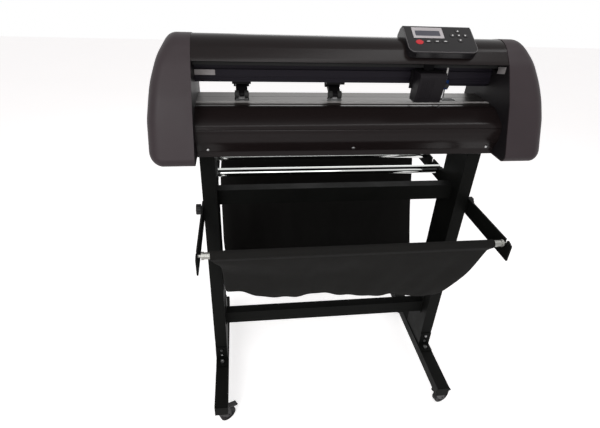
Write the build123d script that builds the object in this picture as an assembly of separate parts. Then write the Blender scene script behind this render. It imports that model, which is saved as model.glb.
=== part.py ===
from build123d import *
import math
import os

# Floor-standing vinyl cutter: cutter head on a two-legged stand with a cloth basket.
# Millimetres. X runs along the head, Y to the rear, Z up. Origin on the floor, mid-width.

# ---- overall sizes ----
head_width = 920.0
cap_width = 99.0
head_bottom = 828.0
head_top = 1082.0
platen_top = 935.0

# ---- sheet and wall sizes ----
cap_wall = 3.0
cap_edge_round = 30.0
cap_lean = 72.0
cover_wall = 2.5
sheet = 3.0
side_gap = 0.3
run_fit = 0.05
soft_gap = 0.5

# ---- platen, grit shaft and pinch rollers ----
platen_front = -41.5
platen_back = 50.0
feed_y = -5.0
drum_r = 11.0
drum_width = 30.0
drum_proud = 1.5
shaft_r = 5.0
drum_places = [-255.0, -30.0, 262.0]
pinch_places = [-255.0, -30.0]
tyre_r = 9.0
tyre_width = 10.0
pinch_gap = 0.4
pinch_pivot_y = 34.0
pinch_pivot_z = 962.0
strip_front = -34.0
strip_width = 11.5
strip_depth = 2.0

# ---- beam, rail, belt and carriage ----
beam_front = -10.0
beam_depth = 60.0
beam_bottom = 976.5
beam_height = 63.5
beam_wall = 3.0
slot_y = 20.0
slot_width = 8.0
rail_depth = 6.0
rail_low = 992.0
rail_height = 14.0
belt_y = -19.0
belt_z = 1021.0
belt_width = 6.0
belt_thick = 1.5
pulley_r = 6.0
pulley_inset = 27.0
carriage_x = 187.5
cover_half = 32.5
cover_front_top = -68.0
cover_front_low = -52.0
tool_x = 231.0
tool_y = -30.0
blade_r = 7.0

# ---- keypad ----
pad_left = 115.0
pad_width = 164.0
pad_back_y = -5.0
pad_rise = 23.8
pad_tilt = 30.4
pad_length = 81.5
key_proud = 1.0
key_depth = 3.0
key_travel = 1.0
key_gap = 0.35

# ---- stand ----
leg_width = 36.0
leg_front = -60.5
leg_depth = 110.0
tube_wall = 2.5
foot_width = 39.0
foot_height = 33.0
foot_bottom = 65.0
foot_front = -240.0
foot_length = 470.0
bar_height = 43.0
bar_depth = 30.0
bar_front = -25.0
upper_bar_top = 699.0
lower_bar_top = 262.0
top_plate = 4.0

# ---- media rollers and their rear arms ----
roller_arm_inset = 33.0
roller_arm_thick = 4.0
roller_arm_top = 708.0
roller_arm_height = 44.0
roller_arm_end = 282.0
roller_r = 12.5
roller_pin_r = 5.0
roller_wall = 1.5
roller_z = 699.0
roller_places = [80.0, 190.0]
spare_notch_y = 136.0

# ---- basket ----
arm_thick = 4.0
arm_top = 674.0
arm_height = 47.0
arm_tip = -282.0
arm_back = -26.0
pivot_y = -48.0
pivot_z = 657.0
pivot_r = 4.0
knob_r = 14.0
knob_length = 15.0
rod_r = 8.0
rod_pin_r = 4.0
rod_wall = 1.2
front_rod_y = -260.0
front_rod_z = 664.0
back_rod_y = 268.0
back_rod_z = 694.0
cloth_thick = 2.0
cloth_front_inset = 25.0
cloth_back_inset = 43.0

# ---- casters ----
wheel_r = 25.0
wheel_width = 19.0
caster_trail = 17.0
stem_r = 5.0
fork_plate = 2.5
caster_inset = 24.0
caster_turns = {"left_front": 33.0, "right_front": 16.0, "left_rear": 68.0, "right_rear": -40.0}

half_inner = head_width / 2 - cap_width
leg_x = half_inner
pulley_x = half_inner + pulley_inset
roller_arm_x = leg_x - roller_arm_inset
cloth_half_front = leg_x - cloth_front_inset
cloth_half_back = leg_x - cloth_back_inset
beam_back = beam_front + beam_depth
beam_top = beam_bottom + beam_height
pad_back_z = head_top + pad_rise
drum_z = platen_top + drum_proud - drum_r
tyre_z = drum_z + drum_r + pinch_gap + tyre_r
leg_back = leg_front + leg_depth
leg_top = head_bottom - top_plate
foot_top = foot_bottom + foot_height
leg_inner = leg_x - leg_width
shelf_top = belt_z - belt_width / 2 - 6.0


# ---- small makers ----
def block(x0, x1, y0, y1, z0, z1):
    """A box between two opposite corners."""
    return Pos((x0 + x1) / 2, (y0 + y1) / 2, (z0 + z1) / 2) * Box(x1 - x0, y1 - y0, z1 - z0)


def rod_x(y, z, radius, x0, x1):
    return Pos((x0 + x1) / 2, y, z) * Rot(0, 90, 0) * Cylinder(radius, x1 - x0)


def rod_y(x, z, radius, y0, y1):
    return Pos(x, (y0 + y1) / 2, z) * Rot(90, 0, 0) * Cylinder(radius, y1 - y0)


def rod_z(x, y, radius, z0, z1):
    return Pos(x, y, (z0 + z1) / 2) * Cylinder(radius, z1 - z0)


def rounded_face(corners):
    """Closed outline from (u, v, radius) corners."""
    points = [(u, v) for u, v, radius in corners]
    radii = [radius for u, v, radius in corners]
    return make_face(FilletPolyline(*points, radius=radii, close=True))


def sharp_face(points):
    return make_face(Polyline(*points, close=True))


def prism_x(face, x0, x1):
    """A (Y, Z) outline carried from x0 to x1."""
    return extrude(Plane.YZ.offset(x0) * face, amount=x1 - x0)


def prism_y(face, y0, y1):
    """An (X, Z) outline carried from y0 to y1."""
    return extrude(Plane.XZ.offset(-y1) * face, amount=y1 - y0)


def prism_z(face, z0, z1):
    """An (X, Y) outline carried from z0 to z1."""
    return extrude(Plane.XY.offset(z0) * face, amount=z1 - z0)


def tube_z(x0, x1, y0, y1, z0, z1):
    w = tube_wall
    return block(x0, x1, y0, y1, z0, z1) - block(x0 + w, x1 - w, y0 + w, y1 - w, z0 - 1, z1 + 1)


def tube_x(x0, x1, y0, y1, z0, z1):
    w = tube_wall
    return block(x0, x1, y0, y1, z0, z1) - block(x0 - 1, x1 + 1, y0 + w, y1 - w, z0 + w, z1 - w)


def tube_y(x0, x1, y0, y1, z0, z1):
    w = tube_wall
    return block(x0, x1, y0, y1, z0, z1) - block(x0 + w, x1 - w, y0 - 1, y1 + 1, z0 + w, z1 - w)


def mirrored(shape):
    return mirror(shape, about=Plane.YZ)


def both_sides(shapes):
    """The given right-hand solids and their left-hand copies."""
    return shapes + [mirrored(s) for s in shapes]


def save(name, solids):
    """Write one node: a list of separate solids in one STEP file."""
    os.makedirs("parts", exist_ok=True)
    flat = []
    for s in solids:
        flat.extend(s.solids())
    export_step(Compound(flat), f"parts/{name}.step")


# ---- outline of the head, seen from its end ----
def head_outline(inset):
    """Side outline of the end caps, moved inwards by inset."""
    face = rounded_face(
        [
            (-169, head_bottom, 16),
            (-117, head_bottom + 137, 150),
            (-76, head_top - 46, 100),
            (-30, head_top + 5, 60),
            (60, head_top - 13, 60),
            (88, head_top - 60, 70),
            (99, head_top - 140, 150),
            (108, head_bottom, 16),
        ]
    )
    if inset == 0:
        return face
    return offset(face, amount=-inset, kind=Kind.INTERSECTION)


def cap_front_outline(inset):
    """Front outline that trims the right end cap, moved inwards by inset; it runs past top and bottom."""
    outer = head_width / 2 - inset
    start = half_inner - 5
    low = head_bottom - 40
    high = head_top + 40
    return rounded_face(
        [
            (start, low, 1),
            (outer, low, 1),
            (outer, head_top - 165, 150),
            (outer - 10, head_top - 92, 200),
            (outer - 26, head_top - 42, 110),
            (outer - 50, head_top - 4, 50),
            (outer - cap_lean, high, 1),
            (start, high, 1),
        ]
    )


def cap_volume(inset):
    """End cap as a solid: side outline trimmed by the front outline, outer rim rounded."""
    start = half_inner if inset == 0 else half_inner - 1
    side = prism_x(head_outline(inset), start, head_width / 2 + 5)
    body = side & prism_y(cap_front_outline(inset), -200, 200)
    rim = body.edges().filter_by(lambda e: e.center().X > half_inner + 20)
    rim = rim - rim.filter_by(Axis.X) - rim.filter_by(Axis.Y)
    return fillet(rim, cap_edge_round - inset)


def end_cap():
    return cap_volume(0) - cap_volume(cap_wall)


# ---- sheet-metal and extruded parts of the head ----
def top_cover():
    """Curved extruded cover over the beam, with two feet that stand on the beam."""
    outer = head_outline(1.0)
    inner = head_outline(1.0 + cover_wall)
    front_low = head_top - 46
    back_low = head_top - 82
    window = Pos(-100, front_low + 60) * Rectangle(220, 120)
    window += Pos(90, back_low + 80) * Rectangle(160, 160)
    shell = (outer - inner) & window
    for y in (beam_front + 8, beam_back - 8):
        foot = Pos(y, (beam_top + head_top) / 2) * Rectangle(sheet, head_top - beam_top)
        shell += foot & head_outline(1.0 + cover_wall / 2)
    return prism_x(shell, -half_inner + side_gap, half_inner - side_gap)


front_cover_top = platen_top - 1.5
slant_low = (-104.0, head_bottom + 15)
slant_high = (-116.5, head_bottom + 41)


def front_cover_outline():
    back = platen_front - 0.5
    return rounded_face(
        [
            (back, head_bottom, 1),
            (-102.5, head_bottom, 1.5),
            (*slant_low, 14),
            (*slant_high, 40),
            (-118.5, front_cover_top - 30, 24),
            (-64, front_cover_top, 40),
            (back, front_cover_top, 1),
        ]
    )


def screw_plane(x):
    """Plane on the lower front of the front cover where its screws sit."""
    low = Vector(0, *slant_low)
    high = Vector(0, *slant_high)
    along = (high - low).normalized()
    middle = low + (high - low) * 0.25
    return Plane(origin=(x, middle.Y, middle.Z), x_dir=(1, 0, 0), z_dir=Vector(1, 0, 0).cross(along))


screw_places = [-335.0, 3.0, 338.0]


def front_cover():
    outline = front_cover_outline()
    hollow = offset(outline, amount=-cover_wall, kind=Kind.INTERSECTION)
    body = prism_x(outline - hollow, -half_inner + side_gap, half_inner - side_gap)
    groove = Pos(-116.4, front_cover_top - 35.5) * Rot(0, 0, 45) * Rectangle(2.4, 2.4)
    body -= prism_x(groove, -half_inner, half_inner)
    for x in screw_places:
        body -= screw_plane(x) * Cylinder(2.2, 12)
    return body


def rear_cover():
    front = platen_back + 0.5
    outline = rounded_face(
        [
            (front, head_bottom, 1),
            (92, head_bottom, 4),
            (92, head_bottom + 32, 30),
            (80, head_bottom + 76, 24),
            (front, platen_top - 4, 1),
        ]
    )
    hollow = offset(outline, amount=-cover_wall, kind=Kind.INTERSECTION)
    return prism_x(outline - hollow, -half_inner + side_gap, half_inner - side_gap)


def base_channel():
    """U-shaped channel along the head that carries the platen and both covers."""
    low = head_bottom
    high = platen_top - sheet
    outer = block(-half_inner, half_inner, platen_front - 0.2, platen_back + 0.2, low, high)
    inside = block(
        -half_inner - 1, half_inner + 1, platen_front + sheet, platen_back - sheet, low + sheet, high + 1
    )
    return outer - inside


def platen():
    half = half_inner - side_gap
    body = block(-half, half, platen_front, platen_back, platen_top - sheet, platen_top)
    body -= block(
        -half - 1, half + 1, strip_front, strip_front + strip_width, platen_top - strip_depth, platen_top + 1
    )
    body -= block(-half - 1, half + 1, 13.4, 14.6, platen_top - 1, platen_top + 1)
    for x in drum_places:
        wide = drum_width / 2 + 2
        deep = drum_r + 0.8
        body -= block(x - wide, x + wide, feed_y - deep, feed_y + deep, platen_top - 5, platen_top + 1)
    return body


def cutting_strip():
    half = half_inner - side_gap
    gap = 0.1
    low = platen_top - strip_depth
    return block(-half, half, strip_front + gap, strip_front + strip_width - gap, low, low + 2.2)


def side_plate():
    """Right side plate with its shelf for the belt pulley."""
    plate = prism_x(head_outline(cap_wall + 0.4), half_inner, half_inner + sheet)
    plate -= block(
        half_inner - 1, half_inner + sheet + 1, belt_y - 12, belt_y + 12, shelf_top, belt_z + 8
    )
    plate -= rod_x(feed_y, drum_z, 8.0, half_inner - 1, half_inner + sheet + 1)
    shelf = block(
        half_inner + sheet, half_inner + 52, belt_y - 25, belt_y + 29, shelf_top - sheet, shelf_top
    )
    shelf -= rod_z(pulley_x, belt_y, 4.0, shelf_top - 5, shelf_top + 5)
    return plate + shelf


def side_plates():
    right = side_plate()
    left = mirrored(side_plate())
    pin = rod_z(-pulley_x, belt_y, 2.5, shelf_top - sheet, belt_z + 9)
    collar = rod_z(-pulley_x, belt_y, 4.0, shelf_top - sheet, shelf_top)
    return [right, left + pin + collar]


def guide_beam():
    """Hollow extruded beam with front ridges and a T-slot below."""
    half = half_inner
    face = sharp_face(
        [(beam_front, beam_bottom), (beam_back, beam_bottom), (beam_back, beam_top), (beam_front, beam_top)]
    )
    hollow = offset(face, amount=-beam_wall, kind=Kind.INTERSECTION)
    profile = face - hollow
    profile -= Pos(slot_y, beam_bottom) * Rectangle(slot_width, 2 * beam_wall + 2)
    for z in (beam_bottom + 6, beam_bottom + 10, rail_low + rail_height + 6, rail_low + rail_height + 10):
        profile -= Pos(beam_front, z) * Rectangle(2.0, 1.6)
    body = prism_x(profile, -half, half)
    end_block = block(246, half, beam_front + 12, beam_back - 8, beam_bottom - 9, beam_bottom)
    end_block -= block(240, half + 1, slot_y - 8, slot_y + 8, beam_bottom - 4, beam_bottom + 1)
    return [body, end_block]


def linear_rail():
    """Guide rail on the front of the beam, with a run-in groove above and below."""
    half = half_inner - 4
    rail = block(-half, half, beam_front - rail_depth, beam_front, rail_low, rail_low + rail_height)
    for z in (rail_low, rail_low + rail_height):
        groove = Pos(beam_front - rail_depth / 2, z) * Rot(0, 0, 45) * Rectangle(2, 2)
        rail -= prism_x(groove, -half - 1, half + 1)
    return rail


def belt_ring(grow):
    face = SlotCenterToCenter(2 * pulley_x, 2 * (pulley_r + 0.1 + grow))
    return Pos(0, belt_y, belt_z - belt_width / 2) * extrude(face, amount=belt_width)


def drive_belt():
    return belt_ring(belt_thick) - belt_ring(0)


def belt_pulley(x):
    """Flanged pulley: a drum as wide as the belt between two rims."""
    half = belt_width / 2 + 0.3
    body = rod_z(x, belt_y, pulley_r, belt_z - half, belt_z + half)
    body += rod_z(x, belt_y, pulley_r + 2.6, belt_z - half - 1.4, belt_z - half)
    body += rod_z(x, belt_y, pulley_r + 2.6, belt_z + half, belt_z + half + 1.4)
    return body


motor_side = 42.0
motor_length = 36.0


def stepper_motors():
    """Carriage motor under the right shelf and feed motor outside the right side plate."""
    half = motor_side / 2
    low = shelf_top - sheet - motor_length
    upright = block(
        pulley_x - half, pulley_x + half, belt_y - half, belt_y + half, low, shelf_top - sheet
    )
    upright = chamfer(upright.edges().filter_by(Axis.Z), 4)
    upright -= rod_z(pulley_x, belt_y, 2.5 + run_fit, low + 10, shelf_top)
    start = half_inner + sheet + 2
    lying = block(
        start, start + motor_length, feed_y - half, feed_y + half, drum_z - half, drum_z + half
    )
    lying = chamfer(lying.edges().filter_by(Axis.X), 4)
    lying += rod_x(feed_y, drum_z, 11, start - 2, start) - rod_x(feed_y, drum_z, 8.6, start - 3, start + 1)
    lying -= rod_x(feed_y, drum_z, shaft_r + run_fit, start - 3, start + 20)
    return [upright, lying]


def shaft_bushes():
    body = rod_x(feed_y, drum_z, 8.0, half_inner, half_inner + sheet)
    body += rod_x(feed_y, drum_z, 6.2, half_inner - 2, half_inner)
    body -= rod_x(feed_y, drum_z, shaft_r + run_fit, half_inner - 5, half_inner + 5)
    return both_sides([body])


def grit_shaft():
    shaft = rod_x(feed_y, drum_z, shaft_r, -half_inner - sheet, half_inner + sheet + 18)
    drums = []
    for x in drum_places:
        drum = rod_x(feed_y, drum_z, drum_r, x - drum_width / 2, x + drum_width / 2)
        drums.append(drum - rod_x(feed_y, drum_z, shaft_r, x - drum_width, x + drum_width))
    return [shaft] + drums


# ---- pinch roller units ----
def pinch_bracket(x):
    """Shoe that hangs from the beam's T-slot, with two ears and the hinge pin."""
    plate = block(x - 22, x + 22, beam_front + 4, beam_back + 2, beam_bottom - 6, beam_bottom - 0.3)
    neck = block(x - 16, x + 16, slot_y - 3.7, slot_y + 3.7, beam_bottom - 1, beam_bottom + beam_wall + 3)
    low = beam_bottom + beam_wall + 0.3
    head = block(x - 16, x + 16, slot_y - 7, slot_y + 7, low, low + 3)
    shoe = plate + neck + head
    for side in (-1, 1):
        inner = x + side * 14.0
        outer = x + side * 18.5
        left = min(inner, outer)
        right = max(inner, outer)
        ear = block(left, right, pinch_pivot_y - 8, pinch_pivot_y + 8, pinch_pivot_z, beam_bottom - 5)
        ear += rod_x(pinch_pivot_y, pinch_pivot_z, 8, left, right)
        shoe += ear
    shoe -= rod_x(pinch_pivot_y, pinch_pivot_z, 2.5, x - 30, x + 30)
    pin = rod_x(pinch_pivot_y, pinch_pivot_z, 2.5, x - 19.5, x + 19.5)
    return [shoe, pin]


def pinch_arm(x):
    """Rocker from the hinge pin down to the roller's axle, narrow where the tyres run."""
    run_y = feed_y - pinch_pivot_y
    run_z = tyre_z - pinch_pivot_z
    length = math.hypot(run_y, run_z)
    normal = (-run_z / length, run_y / length)
    pivot_boss = 6.5
    axle_boss = 6.0
    corners = [
        (pinch_pivot_y + normal[0] * pivot_boss, pinch_pivot_z + normal[1] * pivot_boss),
        (feed_y + normal[0] * axle_boss, tyre_z + normal[1] * axle_boss),
        (feed_y - normal[0] * axle_boss, tyre_z - normal[1] * axle_boss),
        (pinch_pivot_y - normal[0] * pivot_boss, pinch_pivot_z - normal[1] * pivot_boss),
    ]
    side = sharp_face(corners)
    side += Pos(pinch_pivot_y, pinch_pivot_z) * Circle(pivot_boss)
    side += Pos(feed_y, tyre_z) * Circle(axle_boss)
    body = prism_x(side, x - 13.6, x + 13.6)
    room = tyre_r + 1.2
    for side_sign in (-1, 1):
        inner = x + side_sign * 6.0
        outer = x + side_sign * 20.0
        body -= rod_x(feed_y, tyre_z, room, min(inner, outer), max(inner, outer))
    body -= rod_x(pinch_pivot_y, pinch_pivot_z, 2.5 + run_fit, x - 30, x + 30)
    body -= rod_x(feed_y, tyre_z, 3.0 + run_fit, x - 30, x + 30)
    return body


def pinch_roller(x):
    axle = rod_x(feed_y, tyre_z, 3.0, x - 17.0, x + 17.0)
    tyres = []
    for side in (-1, 1):
        inner = x + side * 6.3
        outer = x + side * (6.3 + tyre_width)
        tyre = rod_x(feed_y, tyre_z, tyre_r, min(inner, outer), max(inner, outer))
        tyre = fillet(tyre.edges(), 1.2)
        tyres.append(tyre - rod_x(feed_y, tyre_z, 3.0, x - 30, x + 30))
    return [axle] + tyres


# ---- carriage ----
plate_front = beam_front - rail_depth - 4.3
plate_back = beam_front - rail_depth - 0.3


def carriage_plate():
    """Back plate that wraps the rail and grips the front run of the belt."""
    body = block(carriage_x - 37.5, tool_x + 11, plate_front, plate_back, 967, 1010)
    bearing = block(carriage_x - 27, carriage_x + 27, plate_front, beam_front - 0.4, 985, 1013)
    groove = block(
        carriage_x - 40, carriage_x + 40, plate_back, beam_front + 1, rail_low - 0.3, rail_low + rail_height + 0.3
    )
    body += bearing - groove
    strand = belt_y - pulley_r - 0.1 - belt_thick / 2
    jaw_low = belt_z - belt_width / 2 - 0.5
    grip = block(carriage_x - 12, carriage_x + 12, strand - 4, plate_front + 1, 1005, belt_z + 5)
    grip -= block(
        carriage_x - 13, carriage_x + 13, strand - belt_thick / 2 - 0.4, strand + belt_thick / 2 + 0.4, jaw_low, belt_z + 6
    )
    return body + grip


def carriage_cover():
    """Thin slanted hood over the front of the carriage, ribbed on its face."""
    low = 942.0
    high = 1013.0
    outer = [
        (plate_front - 0.2, low),
        (cover_front_low, low),
        (cover_front_top, high - 8),
        (cover_front_top + 6, high),
        (plate_front - 0.2, high),
    ]
    wall = 2.0
    inner = [
        (plate_front + 1, low - 1),
        (cover_front_low + wall + 0.3, low - 1),
        (cover_front_top + wall + 0.2, high - 9),
        (cover_front_top + 7, high - wall),
        (plate_front + 1, high - wall),
    ]
    left = carriage_x - cover_half
    right = carriage_x + cover_half
    body = prism_x(sharp_face(outer), left, right)
    body = fillet(body.edges().filter_by(Axis.X).sort_by(Axis.Y)[:3], 1.5)
    body -= prism_x(sharp_face(inner), left + wall, right - wall)
    lean = math.degrees(math.atan2(cover_front_low - cover_front_top, high - 8 - low))
    middle_y = (cover_front_low + cover_front_top) / 2
    middle_z = (low + high - 8) / 2
    for i in range(7):
        x = left + 8 + 4.6 * i
        rib_gap = Box(1.6, 1.6, 50)
        body -= Pos(x, middle_y, middle_z) * Rot(lean, 0, 0) * rib_gap
    grip_room = block(carriage_x - 13, carriage_x + 13, -31, plate_front + 1, 1000, 1030)
    return body - grip_room


def tool_holder():
    """Clamp block that holds the blade holder."""
    body = block(tool_x - 9.5, tool_x + 9.5, tool_y - 10, plate_front - 0.3, 970, 992)
    body = fillet(body.edges().filter_by(Axis.Z), 2)
    body -= rod_z(tool_x, tool_y, blade_r, 900, 1100)
    body -= rod_y(tool_x, 981, 2.0, tool_y - 20, tool_y)
    return body


def blade_holder():
    """Round pen body with a collar, an adjusting nut and a fine blade."""
    body = rod_z(tool_x, tool_y, blade_r, 948, 998)
    body += rod_z(tool_x, tool_y, blade_r + 2, 992, 995)
    body += rod_z(tool_x, tool_y, 4.5, 998, 1006)
    body += Pos(tool_x, tool_y, 944.5) * Cone(2.0, blade_r - 1, 7)
    body += Pos(tool_x, tool_y, 939.6) * Cone(0.3, 1.2, 3)
    return body


def clamp_knob():
    front = tool_y - 10
    body = rod_y(tool_x, 981, 6.0, front - 10.5, front - 0.5)
    body += rod_y(tool_x, 981, 2.0 - run_fit, front - 1, tool_y - blade_r - 0.5)
    for k in range(12):
        turn = math.radians(30 * k)
        x = tool_x + 6.2 * math.cos(turn)
        z = 981 + 6.2 * math.sin(turn)
        body -= rod_y(x, z, 0.8, front - 11, front)
    return body


# ---- keypad ----
pad_plane = Plane(
    origin=(pad_left + pad_width / 2, pad_back_y, pad_back_z),
    x_dir=(1, 0, 0),
    z_dir=(0, -math.sin(math.radians(pad_tilt)), math.cos(math.radians(pad_tilt))),
)


def on_pad(x, down, height=0.0):
    """Place on the keypad face: x from its left edge, down from its back edge."""
    return pad_plane * Pos(x - pad_width / 2, -down, height)


key_places = {
    "red_button": (29.5, 53.0),
    "function_key_1": (50.5, 50.8),
    "function_key_2": (71.0, 50.5),
    "function_key_3": (91.0, 50.2),
    "arrow_up": (128.8, 15.0),
    "arrow_left": (112.6, 29.4),
    "enter_key": (128.6, 29.4),
    "arrow_right": (144.6, 29.4),
    "arrow_down": (128.3, 45.4),
}
lcd_place = (54.9, 23.0)
lcd_size = (73.4, 35.0)


def key_outline(name, grow):
    if name == "red_button":
        return Ellipse(9.0 + grow, 7.0 + grow)
    if name.startswith("function"):
        return RectangleRounded(15 + 2 * grow, 8 + 2 * grow, 3)
    return Circle(6.2 + grow)


def key(name):
    x, down = key_places[name]
    cap = extrude(key_outline(name, 0), amount=key_depth + key_proud)
    cap = fillet(cap.edges().sort_by(Axis.Z)[-1:], 0.8)
    return on_pad(x, down, -key_depth) * cap


def keypad_case():
    """Wedge console that sits on the curved top cover, with wells for its keys."""
    tilt = math.radians(pad_tilt)
    lip_y = pad_back_y - pad_length * math.cos(tilt)
    lip_z = pad_back_z - pad_length * math.sin(tilt)
    side = sharp_face(
        [
            (lip_y, lip_z),
            (lip_y - 4, lip_z - 16),
            (lip_y + 30, lip_z - 16),
            (22, lip_z - 16),
            (20, pad_back_z - 24),
            (pad_back_y + 14, pad_back_z - 9),
            (pad_back_y, pad_back_z),
        ]
    )
    body = prism_x(side, pad_left, pad_left + pad_width)
    plan = pad_plane * (Pos(0, -pad_length / 2 + 27) * RectangleRounded(pad_width, pad_length + 60, 17))
    body &= extrude(plan, amount=20) + extrude(plan, amount=-90)
    top_face = body.faces().sort_by(Axis(Vector(0, 0, 0), pad_plane.z_dir))[-1]
    body = fillet(top_face.edges(), 2.5)
    body -= prism_x(head_outline(0.9), pad_left - 5, pad_left + pad_width + 5)
    for name, (x, down) in key_places.items():
        well = extrude(key_outline(name, key_gap), amount=key_depth + key_travel + 4)
        body -= on_pad(x, down, -key_depth - key_travel - 0.5) * well
    lcd = Box(lcd_size[0] + 0.2, lcd_size[1] + 0.2, 2.4)
    return body - on_pad(*lcd_place, 0.0) * lcd


def lcd_window():
    return on_pad(*lcd_place, -0.4) * Box(lcd_size[0], lcd_size[1], 1.6)


# ---- electrics in the right end ----
inlet_z = head_bottom + 60.0
inlet_x = head_width / 2 - 52.0
inlet_back = 105.0


def mainboard():
    """Control board on four posts outside the left side plate."""
    start = -half_inner - sheet
    board = block(start - 10, start - 8.4, -60, 60, head_bottom + 30, head_bottom + 125)
    chips = [(-25, 60, 26), (18, 80, 18), (30, 50, 12)]
    for y, z, size in chips:
        board += block(start - 13, start - 10, y - size / 2, y + size / 2, head_bottom + z - 8, head_bottom + z + 12)
    for y in (-54, 54):
        for z in (head_bottom + 36, head_bottom + 119):
            board += rod_x(y, z, 2.5, start - 8.4, start)
    return board


def power_inlet():
    """Recessed three-pin appliance inlet on the back of the right end cap."""
    front = inlet_back - 24
    body = block(inlet_x - 16, inlet_x + 16, front, inlet_back, inlet_z - 13, inlet_z + 13)
    body += block(inlet_x - 25, inlet_x + 25, inlet_back - 2, inlet_back, inlet_z - 15.5, inlet_z + 15.5)
    body -= block(inlet_x - 12.2, inlet_x + 12.2, front + 6, inlet_back + 1, inlet_z - 8.5, inlet_z + 8.5)
    for dx, dz in ((-7, -2), (0, 3), (7, -2)):
        x = inlet_x + dx
        z = inlet_z + dz
        body += block(x - 1, x + 1, front + 5, inlet_back - 4.5, z - 2, z + 2)
    return body


def inlet_seat():
    """Cut in the cap's back that the inlet's body and flange fit."""
    cut = block(inlet_x - 16.2, inlet_x + 16.2, inlet_back - 40, inlet_back + 10, inlet_z - 13.2, inlet_z + 13.2)
    low = inlet_back - 2 - 0.1
    return cut + block(inlet_x - 25.3, inlet_x + 25.3, low, inlet_back + 10, inlet_z - 15.8, inlet_z + 15.8)


# ---- stand ----
def leg():
    """Right upright tube with its top plate and the rear arm that carries the media rollers."""
    tube = tube_z(leg_inner, leg_x, leg_front, leg_back, foot_top, leg_top)
    plate = block(leg_inner - 4, leg_x + 14, leg_front + 3, leg_back - 1, leg_top, head_bottom)
    gusset = prism_y(
        sharp_face([(leg_x, leg_top), (leg_x + 12, leg_top), (leg_x, leg_top - 16)]), leg_front + 10, leg_front + 14
    )
    arm_low = roller_arm_top - roller_arm_height
    outer = roller_arm_x + roller_arm_thick
    arm = block(roller_arm_x, outer, leg_back, roller_arm_end, arm_low, roller_arm_top)
    arm += block(roller_arm_x, leg_x - 4, leg_back, leg_back + roller_arm_thick, arm_low, roller_arm_top)
    for y in roller_places:
        arm -= rod_x(y, roller_z, roller_pin_r + run_fit, roller_arm_x - 5, outer + 5)
        half = roller_pin_r + run_fit
        arm -= block(roller_arm_x - 5, outer + 5, y - half, y + half, roller_z, roller_arm_top + 5)
    spare = roller_pin_r + 0.5
    arm -= rod_x(spare_notch_y, roller_z, spare, roller_arm_x - 5, outer + 5)
    arm -= block(
        roller_arm_x - 5, outer + 5, spare_notch_y - spare, spare_notch_y + spare, roller_z, roller_arm_top + 5
    )
    arm -= rod_x(back_rod_y, back_rod_z, rod_pin_r + run_fit, roller_arm_x - 5, outer + 5)
    pivot_hole = rod_x(pivot_y, pivot_z, pivot_r + run_fit, leg_x - 5, leg_x + 5)
    return [tube - pivot_hole, plate, gusset, arm]


def foot():
    """Right foot tube with end plugs and the angle plates that hold the upright."""
    inner = leg_x - foot_width
    back = foot_front + foot_length
    tube = tube_y(inner, leg_x, foot_front, back, foot_bottom, foot_top)
    for y in (foot_front + caster_inset, back - caster_inset):
        tube -= rod_z(leg_x - foot_width / 2, y, stem_r + run_fit, foot_bottom - 5, foot_bottom + 5)
    plugs = []
    for y0, y1 in ((foot_front - 3, foot_front), (back, back + 3)):
        plugs.append(block(inner + 0.5, leg_x - 0.5, y0, y1, foot_bottom + 0.5, foot_top - 0.5))
    angles = []
    for y, way in ((leg_front, -1), (leg_back, 1)):
        y0, y1 = sorted((y, y + way * sheet))
        angle = block(inner + 3, leg_x, y0, y1, foot_top, foot_top + 52)
        y0, y1 = sorted((y, y + way * 34))
        angle += block(inner + 3, leg_x, y0, y1, foot_top, foot_top + sheet)
        angles.append(angle)
    return [tube] + plugs + angles


def upper_bar():
    low = upper_bar_top - bar_height
    return tube_x(-leg_inner, leg_inner, bar_front, bar_front + bar_depth, low, upper_bar_top)


def lower_bar():
    """Lower cross tube with a stepped flange at each end."""
    low = lower_bar_top - bar_height
    flange_x = leg_inner - sheet
    tube = tube_x(-flange_x, flange_x, bar_front, bar_front + bar_depth, low, lower_bar_top)
    face = sharp_face(
        [
            (bar_front - 3, low - 4),
            (leg_back - 4, low - 4),
            (leg_back - 4, lower_bar_top + 12),
            (leg_back - 30, lower_bar_top + 12),
            (leg_back - 30, lower_bar_top + 54),
            (bar_front - 3, lower_bar_top + 54),
        ]
    )
    return [tube] + both_sides([prism_x(face, flange_x, leg_inner)])


bolt_r = 6.5
bolt_height = 5.0


def hex_head_x(y, z):
    return prism_x(Pos(y, z) * RegularPolygon(bolt_r, 6), leg_x, leg_x + bolt_height)


def fixing_screws():
    """Hex heads on the uprights and feet, and the small screws of the front cover."""
    heads = []
    for y, z in ((0.0, upper_bar_top - 10), (bar_front + 15, lower_bar_top - 34), (24.0, lower_bar_top - 10)):
        heads.append(hex_head_x(y, z))
    heads = both_sides(heads)
    inner = leg_x - foot_width / 2
    for side in (-1, 1):
        for y in (leg_front - 20, leg_back + 20):
            heads.append(prism_z(Pos(side * inner, y) * RegularPolygon(bolt_r, 6), foot_top + sheet, foot_top + sheet + 5))
        for z in (foot_top + 18, foot_top + 40):
            head = rod_y(side * (leg_x - 18), z, 4.0, leg_front - sheet - 2.5, leg_front - sheet)
            heads.append(head)
    for x in screw_places:
        dome = Pos(0, 0, 1.1) * Cylinder(3.6, 2.2)
        dome = fillet(dome.edges().sort_by(Axis.Z)[-1:], 1.0)
        heads.append(screw_plane(x) * (dome + Pos(0, 0, -4) * Cylinder(2.0, 8)))
    return heads


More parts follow.
